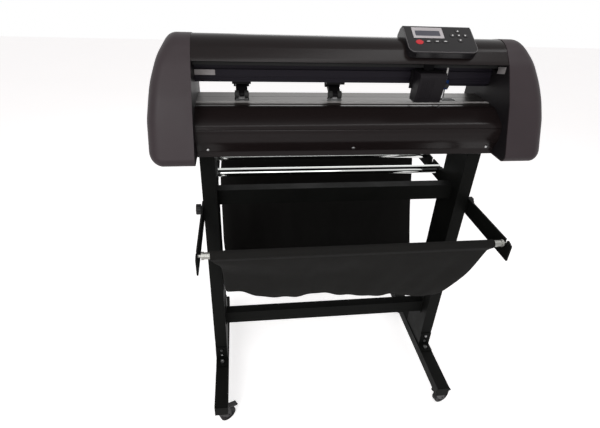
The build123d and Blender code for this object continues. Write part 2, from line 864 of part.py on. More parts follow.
def media_roller(y):
    """Chrome tube with a plug and a pin at each end; the pins lie in the notches of the rear arms."""
    half = roller_arm_x - 0.8
    pin_half = roller_arm_x + roller_arm_thick + 2
    bore = roller_r - roller_wall
    tube = rod_x(y, roller_z, roller_r, -half, half) - rod_x(y, roller_z, bore, -half - 1, half + 1)
    plug = rod_x(y, roller_z, bore, half - 12, half) + rod_x(y, roller_z, roller_pin_r, half, pin_half)
    return [tube] + both_sides([plug])


# ---- basket ----
def basket_arm():
    """Flat arm on the outside of the right upright, notched near its tip for the rod's pin."""
    low = arm_top - arm_height
    face = sharp_face(
        [
            (arm_back, low + 8),
            (arm_back, arm_top - 8),
            (arm_back - 8, arm_top),
            (arm_tip + 14, arm_top),
            (arm_tip, arm_top - 5),
            (arm_tip, low),
            (arm_back - 8, low),
        ]
    )
    inner = leg_x + 0.4
    body = prism_x(face, inner, inner + arm_thick)
    half = rod_pin_r + run_fit
    body -= rod_x(front_rod_y, front_rod_z, half, leg_x, inner + 10)
    body -= block(leg_x, inner + 10, front_rod_y - half, front_rod_y + half, front_rod_z, arm_top + 5)
    body -= rod_x(pivot_y, pivot_z, pivot_r + run_fit, leg_x, inner + 10)
    return body


def basket_rod(y, z, half, pin_half):
    """Tube with a plug and a pin at each end."""
    bore = rod_r - rod_wall
    tube = rod_x(y, z, rod_r, -half, half) - rod_x(y, z, bore, -half - 1, half + 1)
    plug = rod_x(y, z, bore, half - 10, half) + rod_x(y, z, rod_r + 1.5, half, half + 5)
    pin = rod_x(y, z, rod_pin_r, half + 5, pin_half)
    return [tube] + both_sides([plug + pin])


def arm_knob():
    """Lobed clamp knob on the right, with the stud that the arm turns on."""
    inner = leg_x + 0.4 + arm_thick + 0.4
    body = rod_x(pivot_y, pivot_z, knob_r, inner + 3, inner + knob_length)
    body += rod_x(pivot_y, pivot_z, knob_r - 5, inner, inner + 3)
    for k in range(8):
        turn = math.radians(45 * k)
        y = pivot_y + (knob_r + 1.5) * math.cos(turn)
        z = pivot_z + (knob_r + 1.5) * math.sin(turn)
        body -= rod_x(y, z, 3.2, inner, inner + knob_length + 1)
    return body + rod_x(pivot_y, pivot_z, pivot_r, leg_x - 8, inner + 1)


def cloth_room():
    """Outline of the space that the hanging cloth encloses, run on above the rods."""
    return rounded_face(
        [
            (front_rod_y - 32, front_rod_z + 60, 2),
            (-228, 596, 200),
            (-130, 420, 120),
            (-62, 316, 70),
            (90, 292, 70),
            (172, 400, 120),
            (244, 600, 200),
            (back_rod_y + 14, back_rod_z + 60, 2),
        ]
    )


def basket_cloth():
    """Hanging cloth: a long trough between the two rods, with a sleeve round each rod."""
    room = cloth_room()
    ribbon = offset(room, amount=cloth_thick / 2) - offset(room, amount=-cloth_thick / 2)
    ribbon &= sharp_face(
        [
            (front_rod_y - 60, 150),
            (back_rod_y + 60, 150),
            (back_rod_y + 60, back_rod_z),
            (back_rod_y, back_rod_z),
            (front_rod_y, front_rod_z),
            (front_rod_y - 60, front_rod_z),
        ]
    )
    for y, z in ((front_rod_y, front_rod_z), (back_rod_y, back_rod_z)):
        ribbon += Pos(y, z) * Circle(rod_r + soft_gap + cloth_thick)
        ribbon -= Pos(y, z) * Circle(rod_r + soft_gap)
    wide = prism_x(ribbon, -cloth_half_front, cloth_half_front)
    front = cloth_half_front
    back = cloth_half_back
    plan = sharp_face(
        [
            (-front, front_rod_y - 40),
            (front, front_rod_y - 40),
            (front, leg_front - 70),
            (back, leg_front - 15),
            (back, back_rod_y + 40),
            (-back, back_rod_y + 40),
            (-back, leg_front - 15),
            (-front, leg_front - 70),
        ]
    )
    return wide & prism_z(plan, 150, 800)


# ---- casters ----
def caster_axis(name):
    side = -1 if name.startswith("left") else 1
    x = side * (leg_x - foot_width / 2)
    if name.endswith("front"):
        return x, foot_front + caster_inset
    return x, foot_front + foot_length - caster_inset


def caster_place(name):
    """Frame at the foot of the swivel axis, turned so that the wheel trails along local X."""
    x, y = caster_axis(name)
    return Pos(x, y, 0) * Rot(0, 0, caster_turns[name])


def caster_fork(name):
    """Pressed fork with its swivel head and wheel pin; the front ones have a brake pedal."""
    head = foot_bottom - 4.0
    cheek_in = wheel_width / 2 + 0.8
    cheek_out = cheek_in + fork_plate
    side = rounded_face(
        [
            (-15, head, 2),
            (-15, head - 10, 2),
            (caster_trail - 8, wheel_r - 6, 5),
            (caster_trail + 8, wheel_r - 6, 5),
            (caster_trail + 3, head, 8),
        ]
    )
    cheeks = prism_y(side, -cheek_out, cheek_out) - block(-60, 60, -cheek_in, cheek_in, 0, head - 3)
    cheeks += rod_z(0, 0, 15, head - 3, head)
    cheeks += rod_z(0, 0, 12, head, foot_bottom - 0.4)
    cheeks += rod_z(0, 0, stem_r, foot_bottom - 1, foot_bottom + 14)
    if name.endswith("front"):
        tip_x = caster_trail + wheel_r + 6
        lever = sharp_face([(8, head - 5.5), (tip_x, 40), (tip_x + 3, 44), (8, head - 2.5)])
        cheeks += prism_y(lever, -8, 8)
    pin = rod_y(caster_trail, wheel_r, 3.0, -cheek_out - 1.5, cheek_out + 1.5)
    cheeks -= rod_y(caster_trail, wheel_r, 3.0, -cheek_out - 1, cheek_out + 1)
    return [caster_place(name) * s for s in (cheeks, pin)]


def caster_wheel(name):
    """Tyre-shaped wheel with dished sides and a bore for its pin."""
    half = wheel_width / 2
    body = rod_y(caster_trail, wheel_r, wheel_r, -half, half)
    body = fillet(body.edges(), 3.0)
    for y0, y1 in ((-half - 1, -half + 2), (half - 2, half + 1)):
        body -= rod_y(caster_trail, wheel_r, 16, y0, y1) - rod_y(caster_trail, wheel_r, 7, y0, y1)
    body -= rod_y(caster_trail, wheel_r, 3.0 + run_fit, -half - 1, half + 1)
    return caster_place(name) * body


# ---- write every node ----
cap = end_cap()
save("right_end_cap", [cap - inlet_seat()])
save("left_end_cap", [mirrored(cap)])
save("top_cover", [top_cover()])
save("front_cover", [front_cover()])
save("rear_cover", [rear_cover()])
save("base_channel", [base_channel()])
save("platen", [platen()])
save("cutting_strip", [cutting_strip()])
save("side_plates", side_plates() + shaft_bushes())
save("guide_beam", guide_beam() + [linear_rail()])
save("drive_belt", [drive_belt()])
drive_shaft = rod_z(pulley_x, belt_y, 2.5, shelf_top - sheet - 20, belt_z + 9)
save("drive_pulley", [belt_pulley(pulley_x) + drive_shaft])
save("idler_pulley", [belt_pulley(-pulley_x) - rod_z(-pulley_x, belt_y, 2.5 + run_fit, 900, 1100)])
save("stepper_motors", stepper_motors())
save("grit_shaft", grit_shaft())
for side, x in zip(("left", "right"), pinch_places):
    save(f"{side}_pinch_bracket", pinch_bracket(x))
    save(f"{side}_pinch_arm", [pinch_arm(x)])
    save(f"{side}_pinch_roller", pinch_roller(x))
save("carriage_plate", [carriage_plate()])
save("carriage_cover", [carriage_cover()])
save("tool_holder", [tool_holder()])
save("blade_holder", [blade_holder()])
save("clamp_knob", [clamp_knob()])
save("keypad_case", [keypad_case()])
save("lcd_window", [lcd_window()])
for name in key_places:
    save(name, [key(name)])
save("mainboard", [mainboard()])
save("power_inlet", [power_inlet()])
save("uprights", both_sides(leg()))
save("stand_feet", both_sides(foot()))
save("upper_crossbar", [upper_bar()])
save("lower_crossbar", lower_bar())
save("fixing_screws", fixing_screws())
save("front_media_roller", media_roller(roller_places[0]))
save("rear_media_roller", media_roller(roller_places[1]))
save("basket_arms", both_sides([basket_arm()]))
front_rod = basket_rod(front_rod_y, front_rod_z, leg_x - 12, leg_x + 4.4)
back_rod = basket_rod(back_rod_y, back_rod_z, roller_arm_x - 6, roller_arm_x + roller_arm_thick)
save("basket_front_rod", front_rod)
save("basket_rear_rod", back_rod)
save("basket_cloth", [basket_cloth()])
save("right_arm_knob", [arm_knob()])
save("left_arm_knob", [mirrored(arm_knob())])
for name in caster_turns:
    save(f"{name}_caster_fork", caster_fork(name))
    save(f"{name}_caster_wheel", [caster_wheel(name)])
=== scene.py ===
import math
import bpy
import numpy as np
from mathutils import Matrix


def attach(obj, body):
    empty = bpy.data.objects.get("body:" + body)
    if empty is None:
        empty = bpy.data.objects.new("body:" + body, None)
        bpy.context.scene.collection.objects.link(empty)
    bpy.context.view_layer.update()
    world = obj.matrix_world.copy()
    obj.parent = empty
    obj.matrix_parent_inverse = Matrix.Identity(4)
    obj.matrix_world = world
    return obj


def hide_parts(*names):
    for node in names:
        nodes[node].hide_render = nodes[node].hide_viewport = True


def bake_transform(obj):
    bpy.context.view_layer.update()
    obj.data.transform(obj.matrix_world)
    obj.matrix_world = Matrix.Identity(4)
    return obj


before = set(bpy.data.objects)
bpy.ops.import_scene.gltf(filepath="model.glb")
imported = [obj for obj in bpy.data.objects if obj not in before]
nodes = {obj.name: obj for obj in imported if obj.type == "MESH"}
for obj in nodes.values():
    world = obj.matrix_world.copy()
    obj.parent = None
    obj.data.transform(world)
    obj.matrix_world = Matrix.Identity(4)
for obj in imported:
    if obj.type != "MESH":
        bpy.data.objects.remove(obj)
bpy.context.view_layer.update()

# ---- camera ----
# The machine is seen from standing height, a little to its left, looking down on the platen.
view_yaw = math.radians(8.7)
view_pitch = math.radians(31.5)
view_roll = math.radians(2.8)
eye = (-0.2598, -1.0414, 1.2488)
lens_length = 26.08
across_floor = np.array([math.sin(view_yaw), math.cos(view_yaw), 0.0])
forward = across_floor * math.cos(view_pitch) - np.array([0.0, 0.0, math.sin(view_pitch)])
level = np.array([math.cos(view_yaw), -math.sin(view_yaw), 0.0])
upward = np.cross(level, forward)
right = math.cos(view_roll) * level + math.sin(view_roll) * upward
top = -math.sin(view_roll) * level + math.cos(view_roll) * upward
camera = bpy.data.objects.new("camera", bpy.data.cameras.new("camera"))
bpy.context.scene.collection.objects.link(camera)
camera.data.lens = lens_length
camera.data.sensor_width = 36.0
camera.data.clip_start = 0.02
turn = np.eye(4)
turn[:3, 0] = right
turn[:3, 1] = top
turn[:3, 2] = -forward
turn[:3, 3] = eye
camera.matrix_world = Matrix(turn.tolist())
bpy.context.scene.camera = camera
bpy.context.scene.view_settings.view_transform = "Standard"

# ---- studio: floor, room and lamps ----
# A pale seamless floor and a white room. A large soft lamp stands over the front left, a long
# one low in front, a narrow one high above the front edge and a weak one behind.
floor_half = 6.0
floor_glow_always = 0.12
floor_glow_seen = 0.46
room_tint = (1.0, 0.94, 0.94, 1)
room_strength = 0.36


def link(tree, a, b):
    """Join an output socket to an input socket."""
    tree.links.new(a, b)


def lamp(name, place, aim, size, power):
    """A square soft lamp at place that faces aim."""
    data = bpy.data.lights.new(name, "AREA")
    data.shape = "RECTANGLE"
    data.size = size[0]
    data.size_y = size[1]
    data.energy = power
    obj = bpy.data.objects.new(name, data)
    bpy.context.scene.collection.objects.link(obj)
    back = np.array(place, dtype=float) - np.array(aim, dtype=float)
    back /= np.linalg.norm(back)
    side = np.cross((0.0, 0.0, 1.0), back)
    side /= np.linalg.norm(side)
    pose = np.eye(4)
    pose[:3, 0] = side
    pose[:3, 1] = np.cross(back, side)
    pose[:3, 2] = back
    pose[:3, 3] = place
    obj.matrix_world = Matrix(pose.tolist())
    return obj


def new_material(name):
    """An empty material with its shader and its output, and the shader itself."""
    mat = bpy.data.materials.new(name)
    mat.use_nodes = True
    tree = mat.node_tree
    tree.nodes.clear()
    out = tree.nodes.new("ShaderNodeOutputMaterial")
    shader = tree.nodes.new("ShaderNodeBsdfPrincipled")
    link(tree, shader.outputs["BSDF"], out.inputs["Surface"])
    return mat, tree, shader


lamp("key_lamp", (-1.5, -2.3, 2.4), (0.0, 0.0, 0.8), (1.6, 1.2), 37.0)
lamp("front_lamp", (-0.4, -2.6, 1.6), (0.0, 0.0, 0.85), (2.2, 0.5), 16.0)
lamp("top_lamp", (0.4, -0.62, 2.6), (0.2, -0.1, 0.95), (2.6, 0.22), 11.0)
lamp("back_lamp", (0.6, 2.4, 1.6), (0.0, 0.0, 0.9), (1.8, 0.6), 5.0)
world = bpy.data.worlds.new("white_room")
bpy.context.scene.world = world
world.use_nodes = True
room = world.node_tree
room.nodes.clear()
room_out = room.nodes.new("ShaderNodeOutputWorld")
seen = room.nodes.new("ShaderNodeLightPath")
white = room.nodes.new("ShaderNodeBackground")
white.inputs["Color"].default_value = (1, 1, 1, 1)
white.inputs["Strength"].default_value = 1.0
dim = room.nodes.new("ShaderNodeBackground")
dim.inputs["Color"].default_value = room_tint
dim.inputs["Strength"].default_value = room_strength
either = room.nodes.new("ShaderNodeMath")
either.operation = "MAXIMUM"
both = room.nodes.new("ShaderNodeMath")
both.operation = "MAXIMUM"
room_mix = room.nodes.new("ShaderNodeMixShader")
link(room, seen.outputs["Is Camera Ray"], either.inputs[0])
link(room, seen.outputs["Is Glossy Ray"], either.inputs[1])
link(room, either.outputs[0], both.inputs[0])
link(room, seen.outputs["Is Transmission Ray"], both.inputs[1])
link(room, both.outputs[0], room_mix.inputs[0])
link(room, dim.outputs[0], room_mix.inputs[1])
link(room, white.outputs[0], room_mix.inputs[2])
link(room, room_mix.outputs[0], room_out.inputs["Surface"])

floor_mesh = bpy.data.meshes.new("studio_floor")
floor_corners = [(x * floor_half, y * floor_half, 0) for x, y in ((-1, -1), (1, -1), (1, 1), (-1, 1))]
floor_mesh.from_pydata(floor_corners, [], [(0, 1, 2, 3)])
studio_floor = bpy.data.objects.new("studio_floor", floor_mesh)
bpy.context.scene.collection.objects.link(studio_floor)
floor_mat, floor_tree, floor_shader = new_material("floor_paint")
floor_shader.inputs["Roughness"].default_value = 0.9
floor_shader.inputs["Specular IOR Level"].default_value = 0.1
floor_place = floor_tree.nodes.new("ShaderNodeTexCoord")
floor_noise = floor_tree.nodes.new("ShaderNodeTexNoise")
floor_noise.inputs["Scale"].default_value = 2.0
floor_ramp = floor_tree.nodes.new("ShaderNodeValToRGB")
floor_ramp.color_ramp.elements[0].color = (0.93, 0.93, 0.93, 1)
floor_ramp.color_ramp.elements[1].color = (0.97, 0.97, 0.97, 1)
floor_glow = floor_tree.nodes.new("ShaderNodeEmission")
floor_glow.inputs["Color"].default_value = (1.0, 1.0, 1.0, 1)
floor_seen = floor_tree.nodes.new("ShaderNodeLightPath")
floor_shown = floor_tree.nodes.new("ShaderNodeMath")
floor_shown.operation = "MAXIMUM"
floor_lift = floor_tree.nodes.new("ShaderNodeMath")
floor_lift.operation = "MULTIPLY_ADD"
floor_lift.inputs[1].default_value = floor_glow_seen
floor_lift.inputs[2].default_value = floor_glow_always
floor_sum = floor_tree.nodes.new("ShaderNodeAddShader")
link(floor_tree, floor_place.outputs["Object"], floor_noise.inputs["Vector"])
link(floor_tree, floor_noise.outputs["Fac"], floor_ramp.inputs["Fac"])
link(floor_tree, floor_ramp.outputs["Color"], floor_shader.inputs["Base Color"])
link(floor_tree, floor_seen.outputs["Is Camera Ray"], floor_shown.inputs[0])
link(floor_tree, floor_seen.outputs["Is Glossy Ray"], floor_shown.inputs[1])
link(floor_tree, floor_shown.outputs[0], floor_lift.inputs[0])
link(floor_tree, floor_lift.outputs[0], floor_glow.inputs["Strength"])
floor_end = floor_tree.nodes["Material Output"]
link(floor_tree, floor_shader.outputs["BSDF"], floor_sum.inputs[0])
link(floor_tree, floor_glow.outputs[0], floor_sum.inputs[1])
link(floor_tree, floor_sum.outputs[0], floor_end.inputs["Surface"])
floor_mesh.materials.append(floor_mat)

# ---- end caps ----
# Two hollow moulded plastic hoods, charcoal with a fine spark texture, that slide over the
# side plates and are screwed on from behind.


def grain_group():
    """Fine grain and slow blotches at given sizes: Fine and Blotch run 0 to 1, Height is for a bump."""
    group = bpy.data.node_groups.new("surface_grain", "ShaderNodeTree")
    face = group.interface
    face.new_socket("Vector", in_out="INPUT", socket_type="NodeSocketVector")
    for word, start in (("Grains per metre", 1500.0), ("Blotches per metre", 12.0)):
        sock = face.new_socket(word, in_out="INPUT", socket_type="NodeSocketFloat")
        sock.default_value = start
    for word in ("Fine", "Blotch", "Height"):
        face.new_socket(word, in_out="OUTPUT", socket_type="NodeSocketFloat")
    start = group.nodes.new("NodeGroupInput")
    end = group.nodes.new("NodeGroupOutput")
    fine = group.nodes.new("ShaderNodeTexNoise")
    fine.inputs["Detail"].default_value = 3.0
    blotch = group.nodes.new("ShaderNodeTexNoise")
    blotch.inputs["Detail"].default_value = 5.0
    link(group, start.outputs["Vector"], fine.inputs["Vector"])
    link(group, start.outputs["Vector"], blotch.inputs["Vector"])
    link(group, start.outputs["Grains per metre"], fine.inputs["Scale"])
    link(group, start.outputs["Blotches per metre"], blotch.inputs["Scale"])
    link(group, fine.outputs["Fac"], end.inputs["Fine"])
    link(group, fine.outputs["Fac"], end.inputs["Height"])
    link(group, blotch.outputs["Fac"], end.inputs["Blotch"])
    return group


def dust_group():
    """Mask of the dust that settles on faces that look up, broken up by slow noise."""
    group = bpy.data.node_groups.new("settled_dust", "ShaderNodeTree")
    face = group.interface
    face.new_socket("Vector", in_out="INPUT", socket_type="NodeSocketVector")
    sock = face.new_socket("Amount", in_out="INPUT", socket_type="NodeSocketFloat")
    sock.default_value = 0.1
    face.new_socket("Mask", in_out="OUTPUT", socket_type="NodeSocketFloat")
    start = group.nodes.new("NodeGroupInput")
    end = group.nodes.new("NodeGroupOutput")
    facing = group.nodes.new("ShaderNodeNewGeometry")
    parts = group.nodes.new("ShaderNodeSeparateXYZ")
    upward_only = group.nodes.new("ShaderNodeMapRange")
    upward_only.inputs["From Min"].default_value = 0.3
    upward_only.inputs["From Max"].default_value = 1.0
    cloud = group.nodes.new("ShaderNodeTexNoise")
    cloud.inputs["Scale"].default_value = 38.0
    cloud.inputs["Detail"].default_value = 6.0
    both_parts = group.nodes.new("ShaderNodeMath")
    both_parts.operation = "MULTIPLY"
    scaled = group.nodes.new("ShaderNodeMath")
    scaled.operation = "MULTIPLY"
    link(group, facing.outputs["Normal"], parts.inputs[0])
    link(group, parts.outputs["Z"], upward_only.inputs["Value"])
    link(group, start.outputs["Vector"], cloud.inputs["Vector"])
    link(group, upward_only.outputs[0], both_parts.inputs[0])
    link(group, cloud.outputs["Fac"], both_parts.inputs[1])
    link(group, both_parts.outputs[0], scaled.inputs[0])
    link(group, start.outputs["Amount"], scaled.inputs[1])
    link(group, scaled.outputs[0], end.inputs["Mask"])
    return group


surface_grain = grain_group()
settled_dust = dust_group()
dust_colour = (0.42, 0.4, 0.38, 1)
grain_share = 0.35


def coated(name, dark, light, gloss, grain=1500.0, relief=0.00005, blotch=12.0, metal=0.0, spec=0.2,
           dust=0.03, stretch=(1, 1, 1)):
    """A finish that drifts between two colours and two roughnesses, with a fine relief and a little dust.
    gloss is (smoothest, roughest); stretch squeezes the grain along an axis for brushed or drawn metal."""
    mat, tree, shader = new_material(name)
    place = tree.nodes.new("ShaderNodeTexCoord")
    squeeze = tree.nodes.new("ShaderNodeMapping")
    squeeze.inputs["Scale"].default_value = stretch
    grains = tree.nodes.new("ShaderNodeGroup")
    grains.node_tree = surface_grain
    grains.inputs["Grains per metre"].default_value = grain
    grains.inputs["Blotches per metre"].default_value = blotch
    tint = tree.nodes.new("ShaderNodeMix")
    tint.data_type = "RGBA"
    tint.inputs["A"].default_value = (*dark, 1)
    tint.inputs["B"].default_value = (*light, 1)
    blend = tree.nodes.new("ShaderNodeMath")
    blend.operation = "MULTIPLY_ADD"
    blend.inputs[1].default_value = grain_share
    fallen = tree.nodes.new("ShaderNodeGroup")
    fallen.node_tree = settled_dust
    fallen.inputs["Amount"].default_value = dust
    dusty = tree.nodes.new("ShaderNodeMix")
    dusty.data_type = "RGBA"
    dusty.inputs["B"].default_value = dust_colour
    rough = tree.nodes.new("ShaderNodeMapRange")
    rough.inputs["From Min"].default_value = 0.3
    rough.inputs["From Max"].default_value = 0.7
    rough.inputs["To Min"].default_value = gloss[0]
    rough.inputs["To Max"].default_value = gloss[1]
    bump = tree.nodes.new("ShaderNodeBump")
    bump.inputs["Strength"].default_value = 1.0
    bump.inputs["Distance"].default_value = relief
    link(tree, place.outputs["Object"], squeeze.inputs["Vector"])
    link(tree, squeeze.outputs["Vector"], grains.inputs["Vector"])
    link(tree, place.outputs["Object"], fallen.inputs["Vector"])
    link(tree, grains.outputs["Fine"], blend.inputs[0])
    link(tree, grains.outputs["Blotch"], blend.inputs[2])
    link(tree, blend.outputs[0], tint.inputs["Factor"])
    link(tree, tint.outputs["Result"], dusty.inputs["A"])
    link(tree, fallen.outputs["Mask"], dusty.inputs["Factor"])
    link(tree, dusty.outputs["Result"], shader.inputs["Base Color"])
    link(tree, grains.outputs["Blotch"], rough.inputs["Value"])
    link(tree, rough.outputs[0], shader.inputs["Roughness"])
    link(tree, grains.outputs["Height"], bump.inputs["Height"])
    link(tree, bump.outputs["Normal"], shader.inputs["Normal"])
    shader.inputs["Metallic"].default_value = metal
    shader.inputs["Specular IOR Level"].default_value = spec
    return mat


def finish(mat, *names):
    """Give CAD nodes this material."""
    for name in names:
        slots = nodes[name].data.materials
        slots.clear()
        slots.append(mat)


cap_plastic = coated(
    "cap_plastic", (0.0205, 0.0145, 0.0165), (0.033, 0.0245, 0.0275), (0.42, 0.55),
    grain=1800, relief=0.00012, spec=0.2, dust=0.02,
)
finish(cap_plastic, "left_end_cap", "right_end_cap")

# ---- head covers ----
# Extruded aluminium covers with a satin black coat: one bowed over the beam, one nosed in
# front of the platen, one behind. Faint draw lines run along their length.
cover_paint = coated(
    "cover_paint", (0.0065, 0.0044, 0.0044), (0.0115, 0.0085, 0.0085), (0.18, 0.24),
    grain=900, relief=0.00003, stretch=(0.02, 1, 1), spec=0.12, dust=0.0,
)
finish(cover_paint, "top_cover", "front_cover", "rear_cover")

# ---- base channel and side plates ----
# Folded and drilled sheet steel with a black coat; the side plates carry beam, belt and shaft.
sheet_paint = coated(
    "sheet_paint", (0.006, 0.005, 0.006), (0.011, 0.0095, 0.0105), (0.4, 0.55),
    grain=2200, relief=0.00008, spec=0.12, dust=0.01,
)
finish(sheet_paint, "base_channel", "side_plates")

# ---- platen and cutting strip ----
# A satin anodised aluminium plate with windows for the grit drums, and a pale plastic strip
# under the blade, let into its front edge.
platen_metal = coated(
    "platen_metal", (0.036, 0.030, 0.028), (0.052, 0.045, 0.042), (0.3, 0.42),
    grain=1400, relief=0.00003, metal=0.8, stretch=(0.03, 1, 1), dust=0.0,
)
finish(platen_metal, "platen")
strip_plastic = coated(
    "strip_plastic", (0.34, 0.32, 0.31), (0.44, 0.42, 0.41), (0.45, 0.6),
    grain=900, relief=0.00003, stretch=(0.05, 1, 1),
)
finish(strip_plastic, "cutting_strip")

# ---- beam and rail ----
# A dark anodised box extrusion with pairs of fine ridges, and the steel rail screwed to its front.
beam_metal = coated(
    "beam_metal", (0.007, 0.006, 0.009), (0.013, 0.011, 0.016), (0.35, 0.45),
    grain=1200, relief=0.00003, metal=0.1, stretch=(0.02, 1, 1), spec=0.1, dust=0.0,
)
finish(beam_metal, "guide_beam")

# ---- label strips ----
# Blank metallic paper strips stuck on: one on the left end of the rail, one on the inner face of
# the right side plate. A narrow pale one stands on the carriage plate, right of the hood.


def mesh_piece(name, points, quads, material, uv=None, smooth_faces=True):
    """A new object from a point array and a quad array, with a UV for each point if given."""
    mesh = bpy.data.meshes.new(name)
    mesh.vertices.add(len(points))
    mesh.vertices.foreach_set("co", np.asarray(points, dtype=np.float32).ravel())
    mesh.loops.add(quads.size)
    mesh.loops.foreach_set("vertex_index", quads.ravel().astype(np.int32))
    mesh.polygons.add(len(quads))
    mesh.polygons.foreach_set("loop_start", np.arange(0, quads.size, quads.shape[1], dtype=np.int32))
    mesh.polygons.foreach_set("use_smooth", np.full(len(quads), smooth_faces))
    if uv is not None:
        layer = mesh.uv_layers.new(name="UVMap")
        layer.data.foreach_set("uv", uv[quads.ravel()].astype(np.float32).ravel())
    mesh.materials.append(material)
    mesh.update()
    mesh.validate()
    obj = bpy.data.objects.new(name, mesh)
    bpy.context.scene.collection.objects.link(obj)
    return obj


def sheet_skin(front, back):
    """Closed skin between two grids of equal size: front, back turned over, and a strip round the rims."""
    rows, cols = front.shape[:2]
    count = rows * cols
    index = np.arange(count).reshape(rows, cols)
    corners = [index[:-1, :-1], index[:-1, 1:], index[1:, 1:], index[1:, :-1]]
    quads = np.stack(corners, axis=2).reshape(-1, 4)
    rim = np.concatenate([index[0, :], index[1:, -1], index[-1, -2::-1], index[-2:0:-1, 0]])
    after = np.roll(rim, -1)
    edge = np.stack([rim, rim + count, after + count, after], axis=1)
    points = np.concatenate([front.reshape(-1, 3), back.reshape(-1, 3)])
    return points, np.concatenate([quads, quads[:, ::-1] + count, edge])


def sticker(corner, across_way, up_way, size, thick, bulge=0.0):
    """A thin sheet stuck on a face: corner + u across + v up, lifted by thick with its edges let down,
    and bowed outwards by bulge * (1 - (2u - 1)^2)."""
    u = np.array([0.0, 0.002, 0.03, 0.25, 0.5, 0.75, 0.97, 0.998, 1.0])
    v = np.array([0.0, 0.004, 0.06, 0.5, 0.94, 0.996, 1.0])
    grid_v, grid_u = np.meshgrid(v, u, indexing="ij")
    across_way = np.array(across_way, dtype=float)
    up_way = np.array(up_way, dtype=float)
    out_way = np.cross(across_way, up_way)
    inside = np.zeros(grid_u.shape)
    inside[1:-1, 1:-1] = 1.0
    rise = inside * (thick + bulge * (1 - (2 * grid_u - 1) ** 2))
    flat = np.array(corner) + grid_u[..., None] * across_way * size[0] + grid_v[..., None] * up_way * size[1]
    return sheet_skin(flat + rise[..., None] * out_way, flat - 0.0001 * out_way)


rail_end = -0.3600
rail_face = -0.0160
wall_face = 0.3609
plate_end = 0.2375
plate_face = -0.0202
paper_thick = 0.0004
rail_paper_thick = 0.00004
strip_paper = coated(
    "strip_paper", (0.22, 0.20, 0.20), (0.36, 0.34, 0.34), (0.3, 0.45),
    grain=900, relief=0.00002, blotch=60, dust=0.0,
)
left_sheet = sticker((rail_end, rail_face, 0.9928), (1, 0, 0), (0, 0, 1), (0.046, 0.0122), rail_paper_thick)
slant = (0, -0.98, 0.199)
right_sheet = sticker((wall_face, -0.034, 1.0075), slant, (0, 0, 1), (0.032, 0.016), paper_thick, 0.0002)
for name, sheet in (("left_label", left_sheet), ("right_label", right_sheet)):
    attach(mesh_piece(name, *sheet, strip_paper, smooth_faces=False), "machine")
flank_paper = coated(
    "flank_paper", (0.55, 0.54, 0.52), (0.7, 0.69, 0.67), (0.35, 0.5),
    grain=900, relief=0.00002, blotch=60, dust=0.0,
)
flank_sheet = sticker((plate_end, plate_face, 0.9945), (1, 0, 0), (0, 0, 1), (0.0043, 0.024), paper_thick)
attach(mesh_piece("carriage_label", *flank_sheet, flank_paper, smooth_faces=False), "carriage")

# ---- belt drive ----
# A black toothed belt on two turned aluminium pulleys, with square black motors.
belt_rubber = coated(
    "belt_rubber", (0.010, 0.010, 0.010), (0.018, 0.018, 0.018), (0.55, 0.7),
    grain=2500, relief=0.0001,
)
finish(belt_rubber, "drive_belt")
turned_metal = coated(
    "turned_metal", (0.45, 0.45, 0.46), (0.6, 0.6, 0.6), (0.25, 0.35),
    grain=1500, metal=1.0, relief=0.00002,
)
finish(turned_metal, "drive_pulley", "idler_pulley")
motor_paint = coated("motor_paint", (0.02, 0.02, 0.021), (0.035, 0.035, 0.036), (0.35, 0.5), metal=0.3)
finish(motor_paint, "stepper_motors")

# ---- grit shaft ----
# A ground steel shaft with drums coated in fine grit that drive the sheet.
grit_metal = coated(
    "grit_metal", (0.28, 0.28, 0.28), (0.5, 0.5, 0.5), (0.35, 0.6),
    grain=5000, relief=0.0004, metal=1.0,
)
finish(grit_metal, "grit_shaft")

# ---- pinch rollers ----
# Near-black cast shoes and rocker arms that press two narrow rubber tyres on the sheet; the
# carriage plate has the same coat.
dark_casting = coated(
    "dark_casting", (0.0035, 0.003, 0.0035), (0.007, 0.0065, 0.007), (0.42, 0.6),
    grain=1600, relief=0.0001, spec=0.06, dust=0.005,
)
finish(dark_casting, "carriage_plate")
tyre_rubber = coated(
    "tyre_rubber", (0.012, 0.012, 0.012), (0.03, 0.03, 0.03), (0.55, 0.75),
    grain=2500, relief=0.0001,
)
for side in ("left", "right"):
    finish(dark_casting, side + "_pinch_bracket", side + "_pinch_arm")
    finish(tyre_rubber, side + "_pinch_roller")

# ---- carriage ----
# A dark grey ribbed hood on the carriage plate, with a blue anodised clamp that holds the
# steel blade holder by a small knob.
carriage_plastic = coated(
    "carriage_plastic", (0.0075, 0.0065, 0.0075), (0.012, 0.0105, 0.0125), (0.38, 0.5),
    grain=1800, relief=0.0001, spec=0.1, dust=0.004,
)
finish(carriage_plastic, "carriage_cover")
holder_blue = coated(
    "holder_blue", (0.002, 0.012, 0.055), (0.004, 0.022, 0.09), (0.3, 0.42),
    grain=1600, relief=0.00003, metal=0.6,
)
finish(holder_blue, "tool_holder")
blade_steel = coated(
    "blade_steel", (0.35, 0.35, 0.36), (0.55, 0.55, 0.56), (0.2, 0.32),
    grain=1600, metal=1.0, relief=0.00002,
)
finish(blade_steel, "blade_holder")
knob_plastic = coated(
    "knob_plastic", (0.008, 0.008, 0.008), (0.016, 0.016, 0.016), (0.4, 0.55),
    grain=2000, relief=0.0001,
)
finish(knob_plastic, "clamp_knob", "left_arm_knob", "right_arm_knob")

